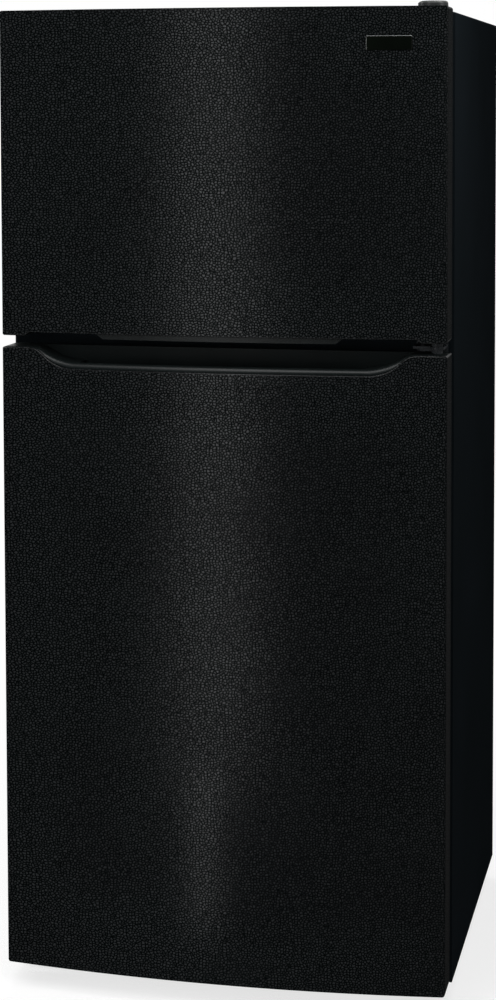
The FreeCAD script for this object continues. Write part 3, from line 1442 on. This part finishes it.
def compressor_mounts():
    """Four rubber mounts with a waist, one under each corner of the compressor's foot."""
    wide, waist = s.mount_radius, s.mount_waist_radius
    waist_z = around(s.mount_height / 2, s.mount_waist_height / 2)
    path = [
        (0, 0),
        (wide, 0),
        (wide, waist_z[0]),
        (waist, s.mount_height / 2),
        (wide, waist_z[1]),
        (wide, s.mount_height),
        (0, s.mount_height),
    ]
    mounts = []
    for x in around(COMPRESSOR_X, s.mount_spacing_x / 2):
        for y in around(COMPRESSOR_Y, s.mount_spacing_y / 2):
            mounts.append(turned(f"compressor_mount_{len(mounts) + 1}", path, (x, y, TRAY_TOP)))
    sub_part(grouped("compressor_mounts", *mounts), "compressor_mounts")


def serpentine(name, x, y, first_z, pitch, runs, radius):
    """A tube that runs to and fro along X and climbs at each end round a half turn."""
    pieces = []
    for i in range(runs):
        start = (x[0], y, first_z + i * pitch)
        pieces.append(rod(f"{name}_run_{i + 1}", radius, start, x[1] - x[0], "X"))
    for i in range(runs - 1):
        at_right = i % 2 == 0
        turn = doc.addObject("Part::Torus", f"{name}_turn_{i + 1}")
        bind(turn, "Radius1", pitch / 2)
        bind(turn, "Radius2", radius)
        turn.Angle3 = 180
        # the torus lies in XY and is turned into XZ, with its half ring on the outer side
        upright_ring = FreeCAD.Rotation(FreeCAD.Vector(1, 0, 0), 90)
        quarter = FreeCAD.Rotation(FreeCAD.Vector(0, 1, 0), 90 if at_right else -90)
        turn.Placement = FreeCAD.Placement(FreeCAD.Vector(), quarter * upright_ring)
        put(turn, x[1] if at_right else x[0], y, first_z + i * pitch + pitch / 2)
        pieces.append(turn)
    return joined(name + "_tube", *pieces)


CONDENSER_X = (-(SHELL_INSIDE - s.condenser_side_gap), s.condenser_right)
PAN_X = (CONDENSER_X[0] - s.condenser_pitch / 2, CONDENSER_X[1] + s.condenser_pitch / 2)


def condenser():
    """A wire-on-tube condenser: a flat serpentine with upright wires welded on both faces."""
    radius, wire = s.condenser_tube_radius, s.condenser_wire_radius
    runs = int(s.condenser_run_count.value)
    count = int(s.condenser_wire_count.value)
    first_z = TRAY_TOP + s.drain_pan_height + s.condenser_rise
    tube = serpentine("condenser", CONDENSER_X, COMPRESSOR_Y, first_z, s.condenser_pitch, runs, radius)
    low = TRAY_TOP + s.bin_wall
    top = first_z + (runs - 1) * s.condenser_pitch + s.condenser_rise
    spacing = (CONDENSER_X[1] - CONDENSER_X[0]) / count
    wires = []
    for i in range(count):
        x = CONDENSER_X[0] + spacing / 2 + i * spacing
        for y in around(COMPRESSOR_Y, radius + wire):
            wires.append(rod(f"condenser_wire_{len(wires) + 1}", wire, (x, y, low), top - low))
    sub_part(grouped("condenser_coil", tube, *wires), "condenser_coil")


def drain_pan():
    """The pan under the condenser, where the defrost water dries up."""
    y = around(COMPRESSOR_Y, s.drain_pan_half_width)
    z = (TRAY_TOP, TRAY_TOP + s.drain_pan_height)
    sub_part(tray("drain_pan", PAN_X, y, z, s.bin_wall, s.bin_corner_radius), "drain_pan")


SHAFT_BORE = s.fan_shaft_radius + s.hinge_pin_clearance
SHAFT_LENGTH = s.fan_depth + s.running_gap + s.fan_shaft_end


def fan(name, place, radius, along):
    """A fan wheel: a bored hub with pitched paddle blades round it."""
    hub, bore, depth = s.fan_hub_radius, SHAFT_BORE, s.fan_depth
    pieces = [turned(f"{name}_hub", [(bore, 0), (hub, 0), (hub, depth), (bore, depth)], (0, 0, 0))]
    count = int(s.fan_blade_count.value)
    tip_half = s.fan_blade_width / 2
    sunk = hub - s.fan_blade_thickness
    shoulder = radius - tip_half / 2
    path = [
        (sunk, -s.fan_blade_root / 2),
        (shoulder, -tip_half),
        Bend(shoulder, tip_half, s.fan_tip_radius, turn=1),
        (sunk, s.fan_blade_root / 2),
    ]
    for i in range(count):
        blade = prism(f"{name}_blade_{i + 1}", "XY", (as_size(0), s.fan_blade_thickness), path)
        turn = FreeCAD.Rotation(FreeCAD.Vector(0, 0, 1), 360 / count * i)
        pitch = FreeCAD.Rotation(FreeCAD.Vector(1, 0, 0), s.fan_pitch.value)
        blade.Placement = FreeCAD.Placement(FreeCAD.Vector(), turn * pitch)
        pieces.append(put(blade, z=depth / 2))
    drill = rod(f"{name}_bore", bore, (0, 0, -s.fan_blade_width), s.fan_blade_width * 2)
    wheel = without(name, joined(f"{name}_wheel", *pieces), drill)
    wheel.Placement = FreeCAD.Placement(FreeCAD.Vector(), TURNS[along])
    return sub_part(put(wheel, *place), name)


CONDENSER_FAN_X = PAN_X[1] + s.condenser_pitch / 2 + s.condenser_fan_gap
CONDENSER_FAN_Z = TRAY_TOP + s.condenser_fan_height


def condenser_fan():
    """The fan that blows over the condenser, and its motor on a bent bracket."""
    fan("condenser_fan", (CONDENSER_FAN_X, COMPRESSOR_Y, CONDENSER_FAN_Z), s.condenser_fan_radius, "X")
    motor_x = CONDENSER_FAN_X + s.fan_depth + s.running_gap
    motor_place = (motor_x, COMPRESSOR_Y, CONDENSER_FAN_Z)
    shaft_place = (motor_x - SHAFT_LENGTH, COMPRESSOR_Y, CONDENSER_FAN_Z)
    post_x = (motor_x + s.fan_motor_length - s.bracket_thickness, motor_x + s.fan_motor_length)
    post_y = around(COMPRESSOR_Y, s.fan_hub_radius)
    foot_x = (post_x[0], post_x[1] + s.fan_motor_radius)
    pieces = [
        rod("condenser_motor", s.fan_motor_radius, motor_place, s.fan_motor_length, "X"),
        rod("condenser_shaft", s.fan_shaft_radius, shaft_place, SHAFT_LENGTH, "X"),
        block("condenser_motor_post", post_x, post_y, (TRAY_TOP, CONDENSER_FAN_Z)),
        block("condenser_motor_foot", foot_x, post_y, (TRAY_TOP, TRAY_TOP + s.bracket_thickness)),
    ]
    sub_part(joined("condenser_fan_motor", *pieces), "condenser_fan_motor")


GLAND_PLACE = (HALF_WIDTH - s.cord_gland_side_gap, FOAM_BACK, TRAY_TOP + s.tray_lip * 2)


def rear_cover():
    """A slotted steel cover over the machine bay, with a hole for the cord's gland."""
    z = (TRAY_TOP + s.tray_lip, BAY_TOP - s.sheet_steel)
    cover = prism("rear_cover_panel", "XZ", (FOAM_BACK, CABINET_BACK), rectangle(both_ways(SHELL_INSIDE), z))
    first = -SHELL_INSIDE + s.cover_slot_margin
    slot_z = (z[0] + s.cover_slot_margin / 2, z[1] - s.cover_slot_margin / 2)
    slot = rectangle((first, first + s.cover_slot_width), slot_z)
    repeat_slot(cover, slot, s.cover_slot_stretch, s.cover_slot_count)
    hole = rod("cord_gland_hole", s.gland_radius, GLAND_PLACE, s.sheet_steel, "Y")
    sub_part(without("rear_cover", cover, hole), "rear_cover")


def cord_gland():
    """A flanged bush where the mains cord would leave the cover."""
    flange = s.gland_radius + s.bin_wall
    path = [
        (s.gland_bore, -s.bin_wall),
        (flange, -s.bin_wall),
        (flange, 0),
        (s.gland_radius, 0),
        (s.gland_radius, s.sheet_steel),
        (s.gland_bore, s.sheet_steel),
    ]
    sub_part(turned("cord_gland", path, GLAND_PLACE, "Y"), "cord_gland")


# ---------------------------------------------------------------- freezer interior

COIL_Y = FREEZER_BACK - s.evaporator_space / 2
COIL_BOTTOM = FREEZER_FLOOR + s.evaporator_rise
COIL_TOP = COIL_BOTTOM + s.evaporator_run_count * s.evaporator_pitch
FAN_Z = (COIL_TOP + FREEZER_CEILING) / 2


def evaporator():
    """A finned coil: upright fins and two end plates on a flat serpentine tube."""
    half = s.evaporator_half_width
    runs = int(s.evaporator_run_count.value)
    pitch = s.evaporator_pitch
    tube_x = both_ways(half + s.evaporator_end_gap)
    first_z = COIL_BOTTOM + pitch / 2
    tube = serpentine("evaporator", tube_x, COIL_Y, first_z, pitch, runs, s.evaporator_tube_radius)
    depth = around(COIL_Y, s.fin_half_depth)
    height = (COIL_BOTTOM, COIL_TOP)
    # one fin's outline is padded thin and repeated from end plate to end plate
    fins = prism("evaporator_fins", "YZ", (-half, -half + s.fin_thickness), rectangle(depth, height))
    row = fins.newObject("PartDesign::LinearPattern", "evaporator_fin_row")
    row.Originals = [fins.Tip]
    row.Direction = (next(item for item in fins.Origin.OriginFeatures if item.Role == "X_Axis"), [""])
    bind(row, "Length", half * 2 - s.fin_thickness)
    bind(row, "Occurrences", s.fin_count)
    fins.Tip = row
    plates = []
    for side, sign in SIDES:
        x = on_side(sign, (half - s.end_plate_thickness, half))
        plates.append(block(f"evaporator_end_plate_{side}", x, depth, (FREEZER_FLOOR, height[1])))
    sub_part(joined("evaporator_coil", fins, tube, *plates), "evaporator_coil")


def evaporator_fan_and_motor():
    """The fan that drives cold air through the cover's slots, and its motor on the back wall."""
    motor_y = FREEZER_BACK - s.fan_motor_length
    fan_y = motor_y - s.running_gap - s.fan_depth
    fan("evaporator_fan", (0, fan_y, FAN_Z), s.evaporator_fan_radius, "Y")
    bar_y = (FREEZER_BACK - s.bracket_thickness, FREEZER_BACK)
    bar_z = around(FAN_Z, s.fan_hub_radius / 2)
    pieces = [
        rod("evaporator_motor", s.fan_motor_radius, (0, motor_y, FAN_Z), s.fan_motor_length, "Y"),
        rod("evaporator_shaft", s.fan_shaft_radius, (0, motor_y - SHAFT_LENGTH, FAN_Z), SHAFT_LENGTH, "Y"),
        block("evaporator_motor_bar", both_ways(s.evaporator_fan_radius), bar_y, bar_z),
    ]
    sub_part(joined("evaporator_fan_motor", *pieces), "evaporator_fan_motor")


def evaporator_cover():
    """A moulded rear panel of the freezer: a tray open to the back and the floor, with slots for the air."""
    half = FREEZER_HALF - s.running_gap
    wall = s.cover_wall
    z = (FREEZER_FLOOR, FREEZER_CEILING - s.running_gap)
    # it stops where the back wall's rounded corners begin
    rear = FREEZER_BACK - s.cavity_corner_radius
    solid = prism("evaporator_cover_solid", "XZ", (COVER_FRONT, rear), rectangle(both_ways(half), z))
    softened(solid, s.cavity_corner_radius, along_y)
    slot_x = around(-s.air_slot_stretch / 2, s.cover_slot_width / 2)
    slot_top = z[1] - s.cover_slot_margin
    slot_z = (slot_top - s.air_slot_height, slot_top)
    repeat_slot(solid, rectangle(slot_x, slot_z), s.air_slot_stretch, s.air_slot_count)
    inner_y, inner_z = (COVER_FRONT + wall, rear), (z[0], z[1] - wall)
    space = block("evaporator_cover_space", both_ways(half - wall), inner_y, inner_z)
    hollow = rounded("evaporator_cover_hollow", space, s.cavity_corner_radius - wall, along_y)
    inlet_z = (z[0] + wall * 2, z[0] + wall * 2 + s.return_slot_height)
    inlet_y = (COVER_FRONT, COVER_FRONT + wall)
    inlet = block("evaporator_return_slot", both_ways(s.evaporator_half_width), inlet_y, inlet_z)
    sub_part(without("evaporator_cover", solid, hollow, inlet), "evaporator_cover")


def spread(first, last, count):
    """Places from first to last, evenly spaced."""
    return [first + (last - first) * (i / (count - 1)) for i in range(count)]


def freezer_shelf():
    """A welded wire shelf: round cross bars that rest on the ledges, thin wires on top, and a raised rail."""
    wire, bar = s.shelf_wire_radius, s.shelf_bar_radius
    half = FREEZER_HALF - s.shelf_side_gap
    y = (SHELF_FRONT, COVER_FRONT - s.shelf_back_gap * 2)
    bar_z = FREEZER_SHELF + bar
    wire_z = bar_z + bar + wire - s.shelf_weld_sink
    front_y = y[0] + bar
    pieces = [rod("shelf_front_rail", bar, (-half, front_y, bar_z + s.shelf_front_rise), half * 2, "X")]
    for i, bar_y in enumerate(spread(front_y, y[1] - bar, int(s.shelf_bar_count.value))):
        pieces.append(rod(f"shelf_bar_{i + 1}", bar, (-half, bar_y, bar_z), half * 2, "X"))
    reach = half - s.shelf_wire_margin
    for i, x in enumerate(spread(-reach, reach, int(s.shelf_wire_count.value))):
        pieces.append(rod(f"shelf_wire_{i + 1}", wire, (x, front_y, wire_z), y[1] - front_y, "Y"))
    stay = s.shelf_stay_radius
    for i, x in enumerate(spread(-reach, reach, int(s.shelf_stay_count.value))):
        pieces.append(rod(f"shelf_stay_{i + 1}", stay, (x, front_y, bar_z), s.shelf_front_rise))
    sub_part(joined("freezer_shelf", *pieces), "freezer_shelf")


# ---------------------------------------------------------------- fresh-food interior

HOUSING_FRONT = CABINET_FACE + s.control_setback
HOUSING_BACK = HOUSING_FRONT + s.control_depth
HOUSING_BOTTOM = FRIDGE_CEILING - s.control_height
KNOB_Z = FRIDGE_CEILING - s.control_height / 2
LENS_X = (s.lens_left, s.lens_left + s.lens_width)
LENS_Y = (HOUSING_FRONT + s.lens_setback, HOUSING_FRONT + s.lens_setback + s.lens_depth)


def control_housing():
    """A housing on the fresh-food ceiling, open towards it, with a window for the lamp's lens."""
    half, wall = s.control_half_width, s.cover_wall
    plan = rectangle(both_ways(half), (HOUSING_FRONT, HOUSING_BACK))
    z = (HOUSING_BOTTOM, FRIDGE_CEILING)
    solid = softened(prism("control_housing_solid", "XY", z, plan), s.bin_corner_radius, upright)
    inner_y, inner_z = (HOUSING_FRONT + wall, HOUSING_BACK - wall), (HOUSING_BOTTOM + wall, FRIDGE_CEILING)
    space = block("control_housing_space", both_ways(half - wall), inner_y, inner_z)
    window = block("lens_window", LENS_X, LENS_Y, (HOUSING_BOTTOM, HOUSING_BOTTOM + wall))
    bore_radius = s.knob_shaft_radius + s.hinge_pin_clearance
    bore = rod("knob_bore", bore_radius, (s.knob_x, HOUSING_FRONT, KNOB_Z), wall, "Y")
    sub_part(without("control_housing", solid, space, window, bore), "control_housing")


def lamp_lens():
    """A lens that drops through the window of the housing and hangs by its lip."""
    wall = s.cover_wall
    lens = block("lens_plate", LENS_X, LENS_Y, (HOUSING_BOTTOM - s.lens_drop, HOUSING_BOTTOM + wall))
    lip_x = (LENS_X[0] - wall, LENS_X[1] + wall)
    lip_y = (LENS_Y[0] - wall, LENS_Y[1] + wall)
    lip = block("lens_lip", lip_x, lip_y, (HOUSING_BOTTOM + wall, HOUSING_BOTTOM + wall * 2))
    sub_part(joined("lamp_lens", lens, lip), "lamp_lens")


def temperature_knob():
    """A skirted knob with a finger bar, on a shaft that turns in the housing's face."""
    shaft = s.knob_shaft_length
    skirt_top = shaft + s.knob_skirt
    top = shaft + s.knob_depth
    path = [
        (0, 0),
        (s.knob_shaft_radius, 0),
        (s.knob_shaft_radius, shaft),
        (s.knob_radius, shaft),
        (s.knob_radius, skirt_top),
        (s.knob_grip_radius, skirt_top),
        (s.knob_grip_radius, top),
        (0, top),
    ]
    knob = turned("temperature_knob_turned", path, (0, 0, 0))
    bar = block("knob_bar", both_ways(s.knob_bar_reach), both_ways(s.knob_bar_half), (skirt_top, top))
    whole = joined("temperature_knob", knob, bar)
    towards_front = FreeCAD.Rotation(FreeCAD.Vector(1, 0, 0), 90)
    whole.Placement = FreeCAD.Placement(FreeCAD.Vector(), towards_front)
    put(whole, s.knob_x, HOUSING_FRONT - s.running_gap + shaft, KNOB_Z)
    sub_part(whole, "temperature_knob")


def light_switch():
    """A switch under the fresh-food ceiling, whose plunger the door's dike holds in."""
    x, half = s.switch_x, s.switch_half_width
    z = FRIDGE_DIKE[1] - s.dike_width / 2
    face = DIKE_FACE + s.switch_standoff
    body = block("switch_body", around(x, half), (face, face + s.switch_depth), (z - half, FRIDGE_CEILING))
    bore_radius = s.plunger_radius + s.hinge_pin_clearance
    bore = rod("switch_bore", bore_radius, (x, face, z), s.switch_bore_depth, "Y")
    sub_part(without("switch_housing", body, bore), "switch_housing")
    tip = DIKE_FACE + s.running_gap
    length = s.switch_standoff + s.plunger_engagement
    sub_part(rod("light_switch_plunger", s.plunger_radius, (x, tip, z), length, "Y"), "light_switch_plunger")


SHELF_HALF = FRIDGE_HALF - s.shelf_side_gap


def shelf(name, bottom, *carried):
    """A shelf: a moulded frame with a raised front rail, and the glass that drops into it."""
    y = (SHELF_FRONT, SHELF_BACK)
    ledge, rim, fit = s.shelf_frame_ledge, s.shelf_frame_rim, s.glass_gap
    seat_z = (bottom + ledge, bottom + ledge + s.shelf_glass_thickness)
    nose_half = SHELF_HALF - s.ledge_width - s.running_gap
    nose_z = (bottom - s.shelf_nose_drop, seat_z[1] + s.shelf_nose_rise)
    nose = block(name + "_nose", both_ways(nose_half), around(y[0], rim), nose_z)
    solid = joined(
        name + "_frame_solid",
        block(name + "_frame_block", both_ways(SHELF_HALF), y, (bottom, seat_z[1])),
        rounded(name + "_nose_rounded", nose, s.bin_wall, along_x),
        *carried,
    )
    seat = block(name + "_glass_seat", both_ways(SHELF_HALF - rim), (y[0] + rim, y[1] - rim), seat_z)
    window_y = (y[0] + rim * 2, y[1] - rim * 2)
    window = block(name + "_window", both_ways(SHELF_HALF - rim * 2), window_y, (bottom, bottom + ledge))
    frame = without(name + "_frame_shape", solid, seat, window)
    pane_y = (y[0] + rim + fit, y[1] - rim - fit)
    pane = block(name + "_pane", both_ways(SHELF_HALF - rim - fit), pane_y, seat_z)
    return frame, pane


def shelves():
    """The two full-width glass shelves."""
    frames, panes = zip(shelf("upper_shelf", UPPER_SHELF), shelf("lower_shelf", LOWER_SHELF))
    sub_part(grouped("shelf_frames", *frames), "shelf_frames")
    sub_part(grouped("shelf_glasses", *panes), "shelf_glasses")


RAIL_TOP = CRISPER_COVER - s.crisper_rail_drop
RIM_BOTTOM = RAIL_TOP + s.running_gap
CRISPER_TOP = RIM_BOTTOM + s.crisper_rim_thickness
CRISPER_FLOOR = FRIDGE_FLOOR + s.crisper_floor_gap
CRISPER_X = (s.crisper_centre_gap, FRIDGE_HALF - s.crisper_wall_gap)
CRISPER_BACK = STEP_FRONT - s.crisper_back_gap


def crisper_cover():
    """The glass-topped cover over the crispers, whose frame carries the rails that they hang from."""
    y = (SHELF_FRONT, CRISPER_BACK)
    web = s.rail_web
    hold = s.crisper_rim_width - web
    rail_z = (RAIL_TOP - s.rail_thickness, RAIL_TOP)
    web_z = (rail_z[0], CRISPER_COVER)
    outer = CRISPER_X[1] + s.running_gap
    rails = [
        block("centre_rail_web", both_ways(web / 2), y, web_z),
        block("centre_rail_flange", both_ways(CRISPER_X[0] + hold), y, rail_z),
    ]
    for side, sign in SIDES:
        rails.append(block(f"{side}_rail_web", on_side(sign, (outer, outer + web)), y, web_z))
        rails.append(block(f"{side}_rail_flange", on_side(sign, (outer - hold, outer + web)), y, rail_z))
    frame, pane = shelf("crisper_cover", CRISPER_COVER, *rails)
    # the centre web hangs from a bar across the frame's window
    bar_z = (CRISPER_COVER, CRISPER_COVER + s.shelf_frame_ledge)
    bar = block("crisper_cover_bar", both_ways(s.shelf_frame_rim), (SHELF_FRONT, SHELF_BACK), bar_z)
    sub_part(joined("crisper_cover_frame", frame, bar), "crisper_cover_frame")
    sub_part(pane, "crisper_cover_glass")


def crispers():
    """Two drawers that hang by their rims, each with a pull along the top of its front."""
    rim, wall = s.crisper_rim_width, s.bin_wall
    low_x, high_x = CRISPER_X
    body_z = (CRISPER_FLOOR, CRISPER_TOP)
    rim_y = (SHELF_FRONT, CRISPER_BACK - s.bin_corner_radius)
    rim_z = (RIM_BOTTOM, CRISPER_TOP)
    face_y = (SHELF_FRONT - s.crisper_front_thickness - wall, SHELF_FRONT - s.crisper_front_thickness)
    pull_y = (SHELF_FRONT - s.crisper_front_reach, face_y[1])
    pull_z = (CRISPER_TOP - s.crisper_pull_height, CRISPER_TOP)
    space_y = (pull_y[0] + wall, face_y[0])
    space_z = (pull_z[0], CRISPER_TOP - wall)
    for side, sign in SIDES:
        name = f"{side}_crisper"
        body_x = on_side(sign, (low_x + rim, high_x - rim))
        face_x = on_side(sign, CRISPER_X)
        pull = block(name + "_pull", face_x, pull_y, pull_z)
        pull_space = block(name + "_pull_space", (face_x[0] + wall, face_x[1] - wall), space_y, space_z)
        drawer = joined(
            name,
            tray(name + "_body", body_x, (face_y[1], CRISPER_BACK), body_z, wall, s.bin_corner_radius),
            block(name + "_inner_rim", on_side(sign, (low_x, low_x + rim + wall)), rim_y, rim_z),
            block(name + "_outer_rim", on_side(sign, (high_x - rim - wall, high_x)), rim_y, rim_z),
            block(name + "_face", face_x, face_y, body_z),
            without(name + "_handle", pull, pull_space),
        )
        sub_part(drawer, name)


# ---------------------------------------------------------------- the whole appliance

def build():
    """Makes every sub-part, the cabinet first and then the doors."""
    cabinet_shell()
    insulation()
    liners()
    base_frame()
    levelling_legs()
    toe_grille()
    compressor_tray()
    rear_rollers()
    hinges()
    top_hinge_cover()
    compressor()
    compressor_mounts()
    condenser()
    drain_pan()
    condenser_fan()
    rear_cover()
    cord_gland()
    evaporator()
    evaporator_fan_and_motor()
    evaporator_cover()
    freezer_shelf()
    control_housing()
    lamp_lens()
    temperature_knob()
    light_switch()
    shelves()
    crisper_cover()
    crispers()
    freezer_door()
    freezer_racks()
    fridge_door()
    fridge_bins()
    dairy()


def write_out():
    """Checks every object and every sub-part, then writes one STEP file for each sub-part."""
    doc.recompute()
    problems = {item.Name for item in doc.Objects if {"Invalid", "Error"} & set(item.State)}
    for piece in SUB_PARTS:
        if piece.Shape.isNull() or not piece.Shape.isValid() or not piece.Shape.Solids:
            problems.add(piece.Label)
    if problems:
        raise RuntimeError(f"these objects failed: {sorted(problems)}")
    os.makedirs("parts", exist_ok=True)
    for piece in SUB_PARTS:
        piece.Shape.exportStep(f"parts/{piece.Label}.step")
        print(f"{piece.Label}: {len(piece.Shape.Solids)} solid(s), {piece.Shape.Volume / 1000:.1f} cm3")


build()
write_out()
